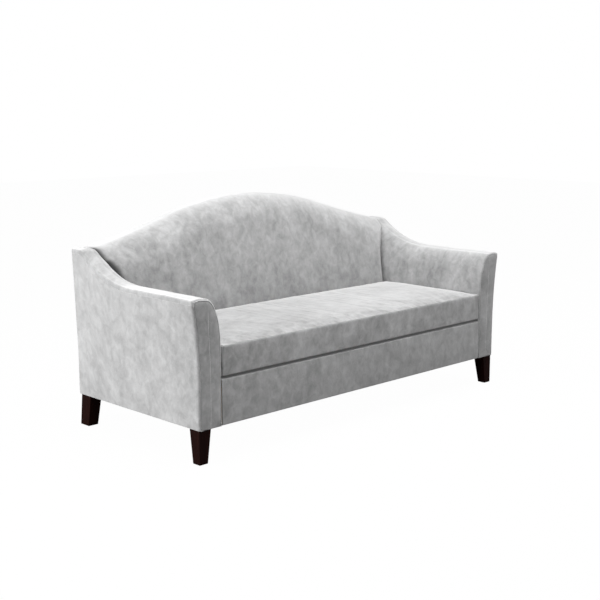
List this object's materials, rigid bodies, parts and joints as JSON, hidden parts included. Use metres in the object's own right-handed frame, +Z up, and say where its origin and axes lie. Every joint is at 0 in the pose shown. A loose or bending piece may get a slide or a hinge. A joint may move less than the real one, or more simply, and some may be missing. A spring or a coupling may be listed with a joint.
{
  "type": "camelback sofa",
  "caption": "Camelback sofa with a humped tight back, low flared arms that sweep up to it, a loose bench cushion, a plain front rail and short tapered dark wood legs.",
  "frame": {"origin": "on the floor, at the centre of the sofa's footprint", "axes": "+X along the sofa's length, to the right of someone facing it; +Y towards its back; +Z up"},
  "size_m": [1.982, 0.833, 0.973],
  "materials": {
    "velvet": "crushed velvet with a soft mottled nap",
    "leg_wood": "satin espresso stain",
    "frame_wood": "planed hardwood",
    "plywood": "sanded plywood",
    "foam": "open-cell foam and wadding",
    "burlap": "coarse woven",
    "webbing": "woven elastic",
    "dust_cloth": "non-woven black cloth",
    "spring_steel": "oiled spring wire",
    "zinc_steel": "zinc plated",
    "zip_nylon": "nylon coil",
    "glide_nylon": "moulded nylon"
  },
  "bodies": {
    "sofa": {"arm_front_board_left": "plywood", "arm_front_board_right": "plywood", "arm_front_cover_left": "velvet", "arm_front_cover_right": "velvet", "arm_padding_left": "foam", "arm_padding_right": "foam", "arm_side_panel_left": "plywood", "arm_side_panel_right": "plywood", "arm_tack_rail_left": "frame_wood", "arm_tack_rail_right": "frame_wood", "arm_top_rail_left": "frame_wood", "arm_top_rail_right": "frame_wood", "back_padding": "foam", "back_post_left": "frame_wood", "back_post_right": "frame_wood", "back_rail": "frame_wood", "back_stiles": "frame_wood", "back_tack_rail": "frame_wood", "back_webbing": "webbing", "camel_top_rail": "plywood", "centre_stretcher": "frame_wood", "deck_cover": "burlap", "deck_padding": "foam", "dust_cover": "dust_cloth", "front_leg_left": "leg_wood", "front_leg_right": "leg_wood", "front_rail": "frame_wood", "front_rail_cover": "velvet", "front_rail_padding": "foam", "hanger_bolts": "zinc_steel", "inside_arm_cover_left": "velvet", "inside_arm_cover_right": "velvet", "inside_back_cover": "velvet", "leg_block_front_left": "frame_wood", "leg_block_front_right": "frame_wood", "leg_block_rear_left": "frame_wood", "leg_block_rear_right": "frame_wood", "leg_glides": "glide_nylon", "leg_plates": "zinc_steel", "outside_arm_cover_left": "velvet", "outside_arm_cover_right": "velvet", "outside_back_cover": "velvet", "rear_leg_left": "leg_wood", "rear_leg_right": "leg_wood", "seat_springs": "spring_steel", "side_rail_left": "frame_wood", "side_rail_right": "frame_wood", "spring_burlap": "burlap", "spring_clips": "zinc_steel", "spring_tie_rods": "spring_steel"},
    "seat_cushion": {"cushion_core": "foam", "cushion_cover": "velvet", "zip_tape": "zip_nylon", "zip_coil": "zip_nylon"},
    "zip_slider": {"zip_slider": "zinc_steel"}
  },
  "joints": [
    {"name": "cushion_lift", "type": "slide", "parent": "sofa", "child": "seat_cushion", "axis": [0, 0, 1], "range_m": [0, 0.66]},
    {"name": "zip_run", "type": "slide", "parent": "seat_cushion", "child": "zip_slider", "axis": [1, 0, 0], "range_m": [0, 1.186]}
  ]
}
